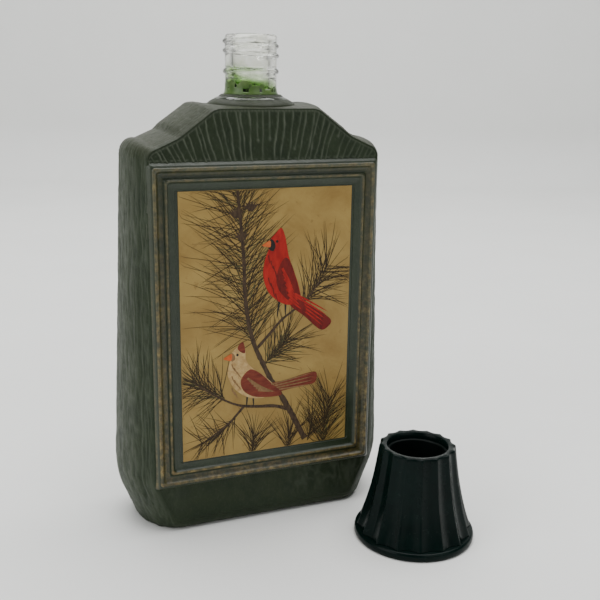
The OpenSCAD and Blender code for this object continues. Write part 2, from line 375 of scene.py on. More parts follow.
# %% [markdown]
# ## The coat
# The coat follows the flask's mould: a flat front and back, sides that swell between
# them, and a stepped shoulder. Such a form can't be got from one primitive by hand, so
# a fine flat grid is bent round it in code, ring by ring. Then the wrinkles are pressed
# into the mesh itself, and a Solidify modifier gives the coat its real thickness.


# %% The outline, from arcs and straight runs
def outward(angle):
    return np.array([math.cos(math.radians(angle)), math.sin(math.radians(angle))])


def arc_points(centre, radius, first, last, hollow=False):
    side = -1 if hollow else 1
    return [(*(centre + side * radius * outward(a)), a) for a in np.linspace(first, last, 60)]


def half_outline():
    """The right half of the front outline from top to base: x, z and the outward normal's angle."""
    steep, ledge = 90 - BROW_SLOPE, 90 - LEDGE_SLOPE
    brow_c = np.array([FLAT_HALF, SHOULDER - BROW_RADIUS])
    brow_end = brow_c + BROW_RADIUS * outward(steep)
    drop = (SLOPE_FOOT - brow_end[0]) * math.tan(math.radians(BROW_SLOPE))
    cove_c = np.array([SLOPE_FOOT, brow_end[1] - drop]) + COVE_RADIUS * outward(steep)
    cove_end = cove_c - COVE_RADIUS * outward(ledge)
    corner_x = HALF_FRONT - CORNER_RADIUS
    ledge_run = corner_x + CORNER_RADIUS * outward(ledge)[0] - cove_end[0]
    corner_z = cove_end[1] - ledge_run * math.tan(math.radians(LEDGE_SLOPE))
    corner_c = np.array([corner_x, corner_z - CORNER_RADIUS * outward(ledge)[1]])
    hip_c = np.array([HALF_FRONT - HIP_RADIUS, HIP_HEIGHT])
    hip_end = hip_c + HIP_RADIUS * outward(-HIP_LEAN)
    lean = math.radians(HIP_LEAN)
    heel_top = HEEL_RADIUS * (1 - math.sin(lean))
    heel_x = hip_end[0] - (hip_end[1] - heel_top) * math.tan(lean) - HEEL_RADIUS * math.cos(lean)
    rows = [(0, SHOULDER, 90)]
    rows += arc_points(brow_c, BROW_RADIUS, 90, steep)
    rows += arc_points(cove_c, COVE_RADIUS, steep, ledge, hollow=True)
    rows += arc_points(corner_c, CORNER_RADIUS, ledge, 0)
    rows += arc_points(hip_c, HIP_RADIUS, 0, -HIP_LEAN)
    rows += arc_points(np.array([heel_x, HEEL_RADIUS]), HEEL_RADIUS, -HIP_LEAN, -90)
    rows.append((0, 0, -90))
    return np.array(rows, float)


def spaced_outline(top_step, side_step, foot_step):
    """The whole outline with a chosen spacing on the shoulder, the sides and the foot."""
    half = half_outline()
    run = np.concatenate([[0], np.cumsum(np.hypot(*np.diff(half[:, :2], axis=0).T))])
    fine = np.linspace(0, run[-1], 4000)
    dense = np.column_stack([np.interp(fine, run, half[:, k]) for k in range(3)])
    step = np.where(dense[:, 1] > 133, top_step, np.where(dense[:, 1] > 22, side_step, foot_step))
    count = np.concatenate([[0], np.cumsum(np.diff(fine) / step[1:])])
    marks = np.linspace(0, count[-1], int(round(count[-1])) + 1)
    right = np.column_stack([np.interp(marks, count, dense[:, k]) for k in range(3)])
    left = right[-2:0:-1] * [-1, 1, 1]
    left[:, 2] = 180 - left[:, 2]
    return np.concatenate([right, left])


def body_ring(outline, depth_angle):
    """One ring round the flask; depth_angle runs from -90 at the front to 90 at the back."""
    x, z, angle = outline.T
    turn, depth = np.radians(angle), math.radians(depth_angle)
    nx, nz = np.cos(turn), np.sin(turn)
    across = max(math.cos(depth), 0)
    side = SIDE_SWELL + BASE_SWELL * (1 - z / SHOULDER)
    crown = np.where(nz > 0, 1 - CROWN_LOSS * np.abs(nz) ** 6, 1)
    foot = np.minimum(1, (1 + nz) / (1 - math.sin(math.radians(HIP_LEAN))))
    swell = foot * crown * side * across ** SWELL_POWER * (1 + BACK_FULLNESS * math.sin(depth))
    swell += (1 - foot) * (BASE_FLAT - BASE_EDGE * (1 - across) ** 3)
    y = np.full(len(x), HALF_DEPTH * math.sin(depth))
    return np.column_stack([x + swell * nx, y, np.maximum(z + swell * nz, 0)])


# %% Bend a grid round the rings
def wrap_sheet(name, rings):
    """Bends a flat grid round closed rings of points, given in millimetres."""
    rings = np.array(rings)
    rows, columns = rings.shape[:2]
    bpy.ops.object.select_all(action="DESELECT")
    bpy.ops.mesh.primitive_grid_add(x_subdivisions=columns, y_subdivisions=rows - 1, size=2)
    sheet = bpy.context.object
    sheet.name = name
    spots = np.zeros(len(sheet.data.vertices) * 3)
    sheet.data.vertices.foreach_get("co", spots)
    spots = spots.reshape(-1, 3)
    row = np.rint((spots[:, 1] + 1) / 2 * (rows - 1)).astype(int)
    column = np.rint((spots[:, 0] + 1) / 2 * columns).astype(int) % columns
    sheet.data.vertices.foreach_set("co", (rings[row, column] * MM).ravel())
    sheet.data.update()
    bpy.ops.object.mode_set(mode="EDIT")
    bpy.ops.mesh.select_all(action="SELECT")
    bpy.ops.mesh.remove_doubles(threshold=1e-6)
    bpy.ops.mesh.normals_make_consistent(inside=False)
    bpy.ops.object.mode_set(mode="OBJECT")
    return sheet


def cut_away(sheet, unwanted):
    """Deletes the faces whose centre, in millimetres, is unwanted."""
    bpy.ops.object.mode_set(mode="EDIT")
    bpy.ops.mesh.select_mode(type="FACE")
    bpy.ops.mesh.select_all(action="DESELECT")
    bpy.ops.object.mode_set(mode="OBJECT")
    for face in sheet.data.polygons:
        face.select = unwanted(face.center / MM)
    bpy.ops.object.mode_set(mode="EDIT")
    bpy.ops.mesh.delete(type="FACE")
    bpy.ops.object.mode_set(mode="OBJECT")


def face_rings(outline, inner_half, inner_low, inner_high, rows, side):
    """Rings across the flat front (side -1) or back (side 1), from the outline inwards."""
    edge = body_ring(outline, side * 90)[:, [0, 2]]
    goal = np.column_stack([np.clip(edge[:, 0], -inner_half, inner_half),
                            np.clip(edge[:, 1], inner_low, inner_high)])
    rings = []
    for share in np.linspace(0, 1, rows):
        flat = edge * (1 - share) + goal * share
        rings.append(np.column_stack([flat[:, 0], np.full(len(flat), side * HALF_DEPTH), flat[:, 1]]))
    return rings


frame_low, frame_high = PICTURE_FOOT - FRAME_REACH, PICTURE_FOOT + PICTURE[1] + FRAME_REACH
frame_half = PICTURE[0] / 2 + FRAME_REACH
spread = np.linspace(-1, 1, 105)
depth_angles = 90 * np.sin(spread * math.pi / 2) * 0.3 + 90 * spread * 0.7
coat_sides = wrap_sheet("coat_sides", [body_ring(spaced_outline(0.55, 2.2, 1.2), d) for d in depth_angles])
cut_away(coat_sides, lambda p: p.z > 140 and math.hypot(p.x, p.y) < 12
         or p.z < 1 and abs(p.x) < PAD[0] and abs(p.y) < PAD[1])
core = Vector((PAD[0] - PAD[2], PAD[1] - PAD[2]))
for v in coat_sides.data.vertices:
    p = v.co / MM
    if p.z < 0.8 and abs(p.x) < PAD[0] + 1 and abs(p.y) < PAD[1] + 0.8:
        anchor = Vector((min(core.x, max(-core.x, p.x)), min(core.y, max(-core.y, p.y))))
        to_edge = Vector((p.x, p.y)) - anchor
        if to_edge.length > 0.1:
            edge_point = anchor + to_edge.normalized() * (PAD[2] + 0.05)
            v.co.x, v.co.y = edge_point.x * MM, edge_point.y * MM
front_outline = spaced_outline(0.32, 1.5, 0.9)
coat_front = wrap_sheet("coat_front", face_rings(front_outline, frame_half - 1, frame_low + 1,
                                                 frame_high - 1, 30, -1))
coat_back = wrap_sheet("coat_back", face_rings(spaced_outline(0.9, 2.2, 1.2), 0, 40, 115, 46, 1))
print("coat faces:", [len(o.data.polygons) for o in (coat_sides, coat_front, coat_back)])

# %% [markdown]
# The wrinkles are of two kinds. The front of the shoulder has thin raised lines, about
# thirty, that fan out towards the top edge. Everywhere else the leather has fine upright
# creases that run into each other. Both are pushed into the mesh along its normals, and
# how high a point stands is kept as the crest attribute, which the colour turns into a
# painted highlight on the crests.


# %% Press the wrinkles in
top_line = half_outline()
top_line = top_line[top_line[:, 2] > 5]


def ridge_line(x, z):
    """Height from 0 to 1 of the fan of thin lines on the shoulder's front."""
    gap = 2.05
    q = x / (1 + 0.016 * (z - frame_high)) / gap
    best = 0.0
    for k in (math.floor(q) - 1, math.floor(q), math.floor(q) + 1):
        chance = noise.cell(Vector((k, 3.1, 7.7)))
        sway = 0.34 * noise.noise(Vector((k * 5.3, z / 7.0, 1.7)))
        sway += 0.06 * noise.noise(Vector((k, z / 1.6, 9)))
        centre = k + 0.5 + 0.24 * (noise.cell(Vector((k, 9.2, 2.4))) - 0.5) + sway
        wide = 0.25 + 0.12 * noise.noise(Vector((k * 3.1, z / 3.0, 4.4)))
        off = (q - centre) * gap
        tall = 0.72 + 0.6 * noise.noise(Vector((k * 2.3, z / 3.0, 8.8)))
        if chance < 0.25:
            end = frame_high + 5 + 26 * chance
            tall *= 1.0 if z > end else 0.0
            best = max(best, math.exp(-((off / 0.42) ** 2) - ((z - end) / 0.45) ** 2))
        best = max(best, tall * math.exp(-((off / wide) ** 2)))
    speck = max(0.0, noise.noise(Vector((x * 1.6, 5.0, z * 1.2))) - 0.25)
    return min(1.0, best + 0.5 * speck)


def crease(p, fineness, stretch=7.0):
    """Height from 0 to 1 of the fine upright creases, which run into each other."""
    a = Vector((p.x / fineness, p.y / fineness, p.z / fineness / stretch))
    bend = noise.noise(Vector((p.x / 8, p.y / 8, p.z / 11)))
    a.x, a.y = a.x + 0.9 * bend, a.y + 0.9 * bend
    first = 1 - abs(noise.noise(a)) * 3.2
    second = 1 - abs(noise.noise(a * 1.7 + Vector((7, 3, 5)))) * 3.2
    return max(0.0, first, 0.8 * second) ** 1.5


def write_attributes(piece, **values):
    """Stores one number a point under each name, for the materials to read."""
    for label, numbers in values.items():
        layer = piece.data.attributes.new(label, "FLOAT", "POINT")
        layer.data.foreach_set("value", numbers)


def press_wrinkles(sheet, height_of):
    """Moves every point along its normal; height_of(p, n) gives millimetres and crest."""
    normals = [v.normal.copy() for v in sheet.data.vertices]
    crest = np.zeros(len(normals))
    smooth_top = np.zeros(len(normals))
    for i, v in enumerate(sheet.data.vertices):
        height, crest[i] = height_of(v.co / MM, normals[i])
        # How far a point faces up sets how much painted sheen it gets.
        smooth_top[i] = max(0.0, normals[i].z) ** 0.7
        v.co += normals[i] * height * MM
        v.co.z = max(v.co.z, 0)
    write_attributes(sheet, crest=crest, smooth_top=smooth_top)
    sheet.data.update()


def side_relief(p, n):
    edge = max(0.0, min(1.0, (HALF_DEPTH - abs(p.y)) / 0.8))
    upright = max(0.0, 1 - abs(n.z)) ** 0.5
    h = crease(p, 1.9)
    groove = math.exp(-(((p.y + HALF_DEPTH - 3.4) / 1.5) ** 2)) * upright if p.z > 14 else 0
    sway = 1.1 * noise.noise(Vector((2.2, 7.1, p.z / 9)))
    wavy = math.exp(-(((p.y + HALF_DEPTH - 3.2 - sway) / 0.3) ** 2)) * upright if p.z > 14 else 0
    amount = edge * upright
    height = 0.3 * amount * (h - 1) - 0.45 * groove + 0.3 * wavy
    # The crest value holds painted light: a painted sheen growing towards the back edge, painted shade in the
    # groove behind the front, and a painted highlight on the wavy line.
    far = 0.75 + 0.25 * max(-1.0, min(1.0, p.y / HALF_DEPTH))
    return height, min(1.0, 0.9 * h * amount * far * (1 - 0.9 * groove) + 0.4 * wavy)


def front_relief(p, n):
    if p.z > frame_high - 1:
        h = ridge_line(p.x, p.z)
        below_edge = np.interp(abs(p.x), top_line[:, 0], top_line[:, 1]) - p.z
        beads = 0.75 + 0.25 * math.sin(p.x * 5.2)
        piping = math.exp(-(((below_edge - 0.75) / 0.32) ** 2)) * beads
        foot = math.exp(-(((p.z - frame_high - 1.1) / 0.3) ** 2)) * (0.5 + 0.5 * math.sin(p.x * 2.6))
        fade = min(1.0, max(0.0, (below_edge - 0.3) / 0.6))
        level = max(h * fade, 0.7 * piping, 0.6 * foot)
        far = 1 - 0.45 * max(0.0, min(1.0, (p.x - 18) / 18))
        return 0.42 * (level - 0.75) * far * min(1, below_edge / 0.3 + 0.2), 0.9 * level * far
    patch = 0.45 + noise.noise(Vector((p.x / 17, 4.0, p.z / 30))) + p.x / 55
    if p.z < frame_low:
        fade = max(0.0, min(1, (p.z - 4) / 6)) * max(0.0, min(1, patch))
    else:
        fade = 0.6
    h = crease(p, 2.4, 4.5)
    return 0.22 * fade * (h - 1), 0.4 * h * fade


def back_relief(p, n):
    edge = max(0.0, min(1.0, (41 - abs(p.x)) / 2))
    h = crease(p, 2.6)
    return 0.26 * edge * (h - 1), 0.6 * h


def thicken(sheet, wall):
    modifier = sheet.modifiers.new("wall", "SOLIDIFY")
    modifier.thickness = wall * MM
    modifier.offset = -1
    bpy.context.view_layer.objects.active = sheet
    bpy.ops.object.modifier_apply(modifier="wall")


def finish_piece(piece, material, body, node):
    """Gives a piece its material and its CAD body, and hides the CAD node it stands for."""
    if material is not None:
        piece.data.materials.append(material)
    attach(piece, body)
    if node:
        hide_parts(node)
    print(piece.name, "faces:", len(piece.data.polygons))


for sheet, relief in ((coat_sides, side_relief), (coat_front, front_relief), (coat_back, back_relief)):
    bpy.ops.object.select_all(action="DESELECT")
    sheet.select_set(True)
    press_wrinkles(sheet, relief)
    thicken(sheet, COAT_SHEET)
    for v in sheet.data.vertices:
        v.co.z = max(v.co.z, 0)
    sheet.data.shade_smooth()
    finish_piece(sheet, green_coat, "bottle", "leather_coat")

# %% [markdown]
# ## Turned pieces
# The neck, the collar and most of the cap are round about one axis, so each is a profile
# drawn by extruding one point and then spun. The screw threads are pressed into the spun
# surface with the helix's own formula, as a mould would form them. The flask below the
# neck is hidden by its coat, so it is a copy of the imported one, cut off under the collar.


# %% Spin a profile
def turned(name, profile, centre=(0, 0, 0), segments=96, smooth_to=35):
    """Spins a profile of (radius, height) points, in millimetres, round a vertical axis."""
    bpy.ops.object.select_all(action="DESELECT")
    bpy.ops.mesh.primitive_plane_add(size=0.01)
    piece = bpy.context.object
    piece.name = name
    bpy.ops.object.mode_set(mode="EDIT")
    bpy.ops.mesh.select_mode(type="VERT")
    bpy.ops.mesh.select_all(action="SELECT")
    bpy.ops.mesh.merge(type="CENTER")
    start = Vector((profile[0][0], 0, profile[0][1])) * MM
    bpy.ops.transform.translate(value=start)
    for before, after in zip(profile, profile[1:]):
        step = (Vector((after[0], 0, after[1])) - Vector((before[0], 0, before[1]))) * MM
        bpy.ops.mesh.extrude_vertices_move(TRANSFORM_OT_translate={"value": step})
    bpy.ops.mesh.select_all(action="SELECT")
    bpy.ops.mesh.spin(steps=segments, angle=2 * math.pi, center=(0, 0, 0), axis=(0, 0, 1))
    bpy.ops.mesh.select_all(action="SELECT")
    bpy.ops.mesh.remove_doubles(threshold=1e-6)
    bpy.ops.mesh.normals_make_consistent(inside=False)
    bpy.ops.object.mode_set(mode="OBJECT")
    bpy.ops.object.shade_smooth_by_angle(angle=math.radians(smooth_to))
    piece.data.transform(Matrix.Translation(centre))
    return piece


def press_thread(piece, root, crest, start, first_angle, centre=(0, 0, 0)):
    """Moves the surface at radius root towards crest along a right-hand helix."""
    for v in piece.data.vertices:
        x, y, z = (v.co - Vector(centre)) / MM
        if abs(math.hypot(x, y) - root) > 0.02 or not start - 1 < z < start + TURNS * PITCH + 1:
            continue
        angle = (math.degrees(math.atan2(y, x)) - first_angle) % 360
        share = 0.0
        for turn in range(3):
            run = angle + 360 * turn
            left = min(run, 360 * TURNS - run)
            away = abs(z - start - PITCH * run / 360)
            if left >= 0:
                share = max(share, min(1, left / 30) * max(0.0, min(1, (0.95 - away) / 0.6)))
        radius = root + (crest - root) * share ** 0.8
        scale = radius / math.hypot(x, y)
        v.co.x, v.co.y = centre[0] + x * scale * MM, centre[1] + y * scale * MM
    piece.data.update()


# %% Glass neck, glass body and collar
thread_zone = [(NECK, z) for z in np.arange(163.6, RIM - 0.9, 0.22)]
neck_profile = [(BORE, 149), (13.9, 149), (13.9, COLLAR_TOP - 3), (12.6, COLLAR_TOP - 1.2),
                (10.6, COLLAR_TOP - 0.6), (9.6, COLLAR_TOP), (9.15, COLLAR_TOP + 0.9), (NECK, COLLAR_TOP + 2),
                (NECK, 158), (NECK, BEAD - 1.1), (NECK + 0.35, BEAD - 0.85), (THREAD - 0.1, BEAD - 0.4),
                (THREAD, BEAD), (THREAD - 0.1, BEAD + 0.4), (NECK + 0.35, BEAD + 0.85), (NECK, BEAD + 1.1)]
neck_profile += thread_zone + [(NECK, RIM - 0.8), (NECK - 0.25, RIM - 0.3), (NECK - 0.8, RIM),
                               (BORE + 0.7, RIM), (BORE + 0.2, RIM - 0.2), (BORE, RIM - 0.7)]
neck_profile += [(BORE, z) for z in np.linspace(RIM - 3, 149, 12)]
glass_neck = turned("glass_neck", neck_profile, segments=120, smooth_to=60)
press_thread(glass_neck, NECK, THREAD, THREAD_START, THREAD_ANGLE)
finish_piece(glass_neck, clear_glass, "bottle", "glass_bottle")

bpy.ops.object.select_all(action="DESELECT")
glass_body = bpy.data.objects.new("glass_body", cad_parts["glass_bottle"].data.copy())
glass_body.data.transform(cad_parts["glass_bottle"].matrix_world)
bpy.context.scene.collection.objects.link(glass_body)
glass_body.select_set(True)
bpy.context.view_layer.objects.active = glass_body
bpy.ops.object.mode_set(mode="EDIT")
bpy.ops.mesh.select_all(action="SELECT")
bpy.ops.mesh.remove_doubles(threshold=1e-6)
bpy.ops.mesh.bisect(plane_co=(0, 0, 0.149), plane_no=(0, 0, 1), use_fill=True, clear_outer=True)
bpy.ops.mesh.select_all(action="SELECT")
bpy.ops.mesh.normals_make_consistent(inside=False)
bpy.ops.object.mode_set(mode="OBJECT")
bpy.ops.object.shade_smooth_by_angle(angle=math.radians(30))
glass_body.data.materials.clear()
finish_piece(glass_body, clear_glass, "bottle", None)

collar = turned("coat_collar", [
    (10.0, 149.2), (15.8, 149.4), (15.7, 150.4), (15.3, 151.0), (14.6, 151.6), (13.6, 152.2), (12.5, 152.7),
    (11.5, 153.2), (10.9, 153.7), (10.5, 154.0), (10.2, 154.05), (10.0, 153.8), (10.0, 149.2)],
    segments=128, smooth_to=60)
for v in collar.data.vertices:
    wobble = 0.1 * noise.noise(v.co * 260)
    v.co.x, v.co.y = v.co.x * (1 + 0.012 * wobble), v.co.y * (1 + 0.012 * wobble)
    v.co.z = min(v.co.z + wobble * MM, COLLAR_TOP * MM)
finish_piece(collar, green_coat, "bottle", None)
count = len(collar.data.vertices)
# The collar gets the painted sheen all over and no crest highlight.
write_attributes(collar, crest=[0.0] * count, smooth_top=[0.7] * count)

# %% [markdown]
# ## Green film on the neck
# Where the coat ends, its green runs thinly up the glass with a ragged edge. Painted in
# the glass alone it would let the dark below show, so the film is a sleeve of its own,
# just clear of the neck. It is turned, and the faces above a noisy line are deleted.

# %% Sleeve with a ragged edge
film_profile = [(9.72, COLLAR_TOP - 0.1), (9.4, COLLAR_TOP + 0.5), (9.22, COLLAR_TOP + 0.9),
                (9.09, COLLAR_TOP + 2)]
film_profile += [(9.07, z) for z in np.arange(COLLAR_TOP + 2.2, 160, 0.2)]
green_film = turned("green_film", film_profile, segments=200, smooth_to=60)


def film_gone(p):
    """True above the film's ragged edge, and in the holes worn through it."""
    edge = 157 - 0.16 * p.x + 2.2 * noise.noise(p / 3.1) + 0.6 * noise.noise(p / 0.9)
    return p.z > edge or p.z > 155.2 and noise.noise(p / 1.3 + Vector((5, 5, 5))) > 0.34


cut_away(green_film, film_gone)
bpy.ops.object.select_all(action="DESELECT")
green_film.select_set(True)
thicken(green_film, 0.03)
film_green, tree, shader = new_material("film_green", Roughness=0.3, Specular_IOR_Level=0.4)
shade = use_group(tree, mottle, Thin=(0.055, 0.12, 0.02, 1), Thick=(0.12, 0.19, 0.055, 1), Size=0.2)
tree.links.new(shade["Color"], shader.inputs["Base Color"])
finish_piece(green_film, film_green, "bottle", None)

# %% [markdown]
# ## The moulded frame
# The frame starts as a thin block in front of the picture. Its front face is inset again
# and again, each time in or out by a little, which draws the two beads, the groove
# between them and the flat border just as a cutter would run round the mould.

# %% Frame from insets
OUTER = 10.5
bpy.ops.object.select_all(action="DESELECT")
bpy.ops.mesh.primitive_cube_add(size=1)
picture_frame = bpy.context.object
picture_frame.name = "picture_frame"
bpy.ops.object.mode_set(mode="EDIT")
bpy.ops.transform.resize(value=((PICTURE[0] + 2 * OUTER) * MM, 1.2 * MM, (PICTURE[1] + 2 * OUTER - 1) * MM))
middle_z = PICTURE_FOOT + PICTURE[1] / 2
bpy.ops.transform.translate(value=(0, (-HALF_DEPTH + 1.6) * MM, middle_z * MM))
bpy.ops.mesh.select_mode(type="FACE")
bpy.ops.mesh.select_all(action="DESELECT")
bpy.ops.object.mode_set(mode="OBJECT")
for face in picture_frame.data.polygons:
    face.select = face.normal.y < -0.9
bpy.ops.object.mode_set(mode="EDIT")
cuts = [(0.55, 0.8), (0.55, 0.6), (0.3, 0.35), (0.25, 0.15), (0.25, 0.0),
        (0.15, 0.3), (0.25, 0.22), (0.3, 0.08), (0.3, -0.08), (0.25, -0.25), (0.15, -0.32),
        (0.25, -0.35), (0.45, -0.3), (0.55, -0.12), (0.55, 0.05), (0.45, 0.22),
        (0.2, 0.4), (0.3, 0.4), (0.3, 0.1), (0.3, -0.12), (0.3, -0.45), (0.3, -0.4),
        (0.2, -0.12), (2.0, -0.04), (0.12, -0.25)]
for inward, outward_by in cuts:
    bpy.ops.mesh.inset(thickness=inward * MM, depth=outward_by * MM, use_even_offset=True)
reached = sum(c[0] for c in cuts)
bpy.ops.mesh.inset(thickness=(OUTER - 0.3 - reached) * MM, depth=-0.02 * MM, use_even_offset=True)
bpy.ops.mesh.select_mode(type="EDGE")
bpy.ops.mesh.select_all(action="DESELECT")
bpy.ops.object.mode_set(mode="OBJECT")
spots = picture_frame.data.vertices
for edge in picture_frame.data.edges:
    a, b = (spots[i].co for i in edge.vertices)
    mitre = abs(a.x - b.x) > 1e-6 and abs(abs(a.x - b.x) - abs(a.z - b.z)) < 1e-6
    edge.select = mitre or abs(a.y - b.y) > 9e-4
bpy.ops.object.mode_set(mode="EDIT")
bpy.ops.mesh.bevel(offset=0.9 * MM, segments=3, affect="EDGES")
bpy.ops.object.mode_set(mode="OBJECT")
bpy.ops.object.shade_smooth_by_angle(angle=math.radians(40))
rub, crest = [], []
for v in picture_frame.data.vertices:
    x, y, z = v.co / MM
    reach = max(abs(x) - PICTURE[0] / 2, abs(z - middle_z) - PICTURE[1] / 2)
    level = -HALF_DEPTH - y
    low_part = max(0.0, min(1.0, (frame_high - z) / (frame_high - frame_low)))
    bead = max(0.0, min(1.0, (level - 0.92) / 0.3))
    in_groove, on_rim = 5.0 < reach < 7.3 and bead < 0.1, reach > 9.2
    settled = 0.15 + 0.4 * low_part if in_groove else 0.35 * low_part if on_rim else 0.0
    rub.append(max(bead * (0.4 + 0.5 * low_part), settled))
    # Painted highlight: the outer rim, and the bead tops more towards the top of the frame, are painted
    # lighter through crest.
    crest.append(0.18 if reach > 8.8 else 0.35 * (1 - low_part) if bead > 0.8 else 0.0)
write_attributes(picture_frame, rub=rub, crest=crest, smooth_top=[0.0] * len(rub))
highest = max(-v.co.y for v in spots) / MM - HALF_DEPTH
print("frame reaches", round(reached, 2), "mm in; highest", round(highest, 2))
finish_piece(picture_frame, gilt_coat, "bottle", None)

# %% [markdown]
# ## The picture
# The picture is a printed sheet: a mottled tan ground with pine twigs and two small
# birds. They are drawn afresh as plain flat shapes, laid out much as on the real print.
# Every colour is a very thin flat layer lying on the one before, as in a screen print.
# One needle is modelled and then copied for all.

# %% Sheet
LEVEL = -HALF_DEPTH - 0.02


def on_picture(x, z, layer=0):
    """A point of the picture: x from its middle, z from its lower edge, layer counted up from the sheet."""
    x = max(-PICTURE[0] / 2 + 0.1, min(PICTURE[0] / 2 - 0.1, x))
    z = max(0.1, min(PICTURE[1] - 0.1, z))
    return (x * MM, (LEVEL - 0.02 * layer) * MM, (PICTURE_FOOT + z) * MM)


bpy.ops.object.select_all(action="DESELECT")
bpy.ops.mesh.primitive_cube_add(size=1)
picture_sheet = bpy.context.object
picture_sheet.name = "picture_sheet"
bpy.ops.object.mode_set(mode="EDIT")
bpy.ops.transform.resize(value=(PICTURE[0] * MM, 0.18 * MM, PICTURE[1] * MM))
bpy.ops.transform.translate(value=(0, (LEVEL + 0.09) * MM, middle_z * MM))
bpy.ops.object.mode_set(mode="OBJECT")
tan_print, tree, shader = new_material("tan_print", Roughness=0.42, Specular_IOR_Level=0.3)
blotch = steps(tree, noise_at(tree, place(tree), 0.06, 6, 0.62, 0.5), 0.3, 0.7)
colour = blend_colours(tree, blotch, (0.235, 0.14, 0.032, 1), (0.36, 0.245, 0.07, 1))
spots_far = add(tree, "ShaderNodeTexVoronoi", {"Vector": place(tree), "Scale": 0.22}).outputs["Distance"]
spots_far = math_node(tree, "ADD", spots_far, noise_at(tree, place(tree), 0.9, 3))
spot = steps(tree, spots_far, 0.5, 0.68, 0.55, 0.0)
colour = blend_colours(tree, spot, colour, (0.2, 0.115, 0.03, 1))
speck = steps(tree, noise_at(tree, place(tree), 2.2, 4, 0.7), 0.62, 0.72, 0.0, 0.35)
colour = blend_colours(tree, speck, colour, (0.16, 0.09, 0.025, 1))
tree.links.new(colour, shader.inputs["Base Color"])
tree.links.new(bump(tree, noise_at(tree, place(tree), 1.4, 4), 0.08, 0.0002), shader.inputs["Normal"])
finish_piece(picture_sheet, tan_print, "bottle", "picture_label")

# %% Needles: one blade, copied
inks = {
    "bark": ink("ink_bark", (0.03, 0.018, 0.01, 1), (0.075, 0.045, 0.024, 1), 1.2, (1, 1, 0.4)),
    "needle": ink("ink_needle", (0.022, 0.013, 0.005, 1), (0.042, 0.027, 0.009, 1)),
    "olive": ink("ink_olive", (0.055, 0.06, 0.022, 1), (0.085, 0.08, 0.03, 1)),
    "red": ink("ink_red", (0.26, 0.007, 0.005, 1), (0.42, 0.018, 0.01, 1), 0.5, (1, 1, 0.4), 0.7),
    "dark_red": ink("ink_dark_red", (0.09, 0.005, 0.004, 1), (0.17, 0.009, 0.006, 1), 0.9, (1, 1, 0.3), 0.7),
    "rust": ink("ink_rust", (0.11, 0.018, 0.01, 1), (0.2, 0.038, 0.02, 1), 0.9, (0.3, 1, 1), 0.1),
    "buff": ink("ink_buff", (0.36, 0.22, 0.085, 1), (0.52, 0.36, 0.16, 1), 0.6),
    "brown": ink("ink_brown", (0.16, 0.085, 0.035, 1), (0.25, 0.14, 0.06, 1), 0.8),
    "black": ink("ink_black", (0.008, 0.008, 0.008, 1), (0.02, 0.018, 0.014, 1)),
    "orange": ink("ink_orange", (0.48, 0.09, 0.02, 1), (0.6, 0.14, 0.035, 1)),
}
bpy.ops.object.select_all(action="DESELECT")
bpy.ops.mesh.primitive_grid_add(x_subdivisions=6, y_subdivisions=1, size=2)
blade = bpy.context.object
blade_spots = np.array([v.co[:] for v in blade.data.vertices])
blade_faces = [tuple(f.vertices) for f in blade.data.polygons]
bpy.data.objects.remove(blade)
along, across = (blade_spots[:, 0] + 1) / 2, blade_spots[:, 1]


def finish_layer(piece, colour):
    """Turns every face of a flat layer to the front and gives it its ink."""
    for face in piece.data.polygons:
        if face.normal.y > 0:
            face.flip()
    piece.data.update()
    finish_piece(piece, inks[colour], "bottle", None)


def print_layer(name, spots, faces, colour):
    """Makes a flat layer from its points and faces."""
    mesh = bpy.data.meshes.new(name)
    mesh.from_pydata(spots, [], faces)
    piece = bpy.data.objects.new(name, mesh)
    bpy.context.scene.collection.objects.link(piece)
    finish_layer(piece, colour)


def blades(name, wanted, colour, layer):
    """Joins copies of the blade; each wanted one is (x, z, degrees, length, width, bend)."""
    spots, faces = [], []
    for k, (x, z, angle, length, width, bow) in enumerate(wanted):
        turn = math.radians(angle)
        height = layer + 0.9 * k / len(wanted)
        u = along * length
        v = across * width / 2 * (1 - along ** 2) ** 0.6 + bow * length * along ** 2
        base = len(spots)
        for p, q in zip(u, v):
            spots.append(on_picture(x + p * math.cos(turn) - q * math.sin(turn),
                                    z + p * math.sin(turn) + q * math.cos(turn), height))
        faces += [tuple(base + i for i in f) for f in blade_faces]
    print_layer(name, spots, faces, colour)


def spray(path, count, left, right, length, seed):
    """Needles rooted along a twig, leaning to its left and right by the given angles."""
    chance = np.random.default_rng(seed)
    path = np.array(path, float)
    run = np.concatenate([[0], np.cumsum(np.hypot(*np.diff(path, axis=0).T))])
    rows = []
    for k in range(count):
        s = run[-1] * (k + chance.uniform(0, 1)) / count
        x, z = np.interp(s, run, path[:, 0]), np.interp(s, run, path[:, 1])
        ahead = [np.interp(s + 1, run, path[:, c]) - np.interp(s - 1, run, path[:, c]) for c in (0, 1)]
        heading = math.degrees(math.atan2(ahead[1], ahead[0]))
        side = left if k % 2 else right
        angle = heading + chance.uniform(*side)
        reach = length * chance.uniform(0.75, 1.4)
        bow = (1 if k % 2 == 0 else -1) * chance.uniform(-0.16, 0.06)
        rows.append((x, z, angle, reach, chance.uniform(0.17, 0.29), bow))
    return rows


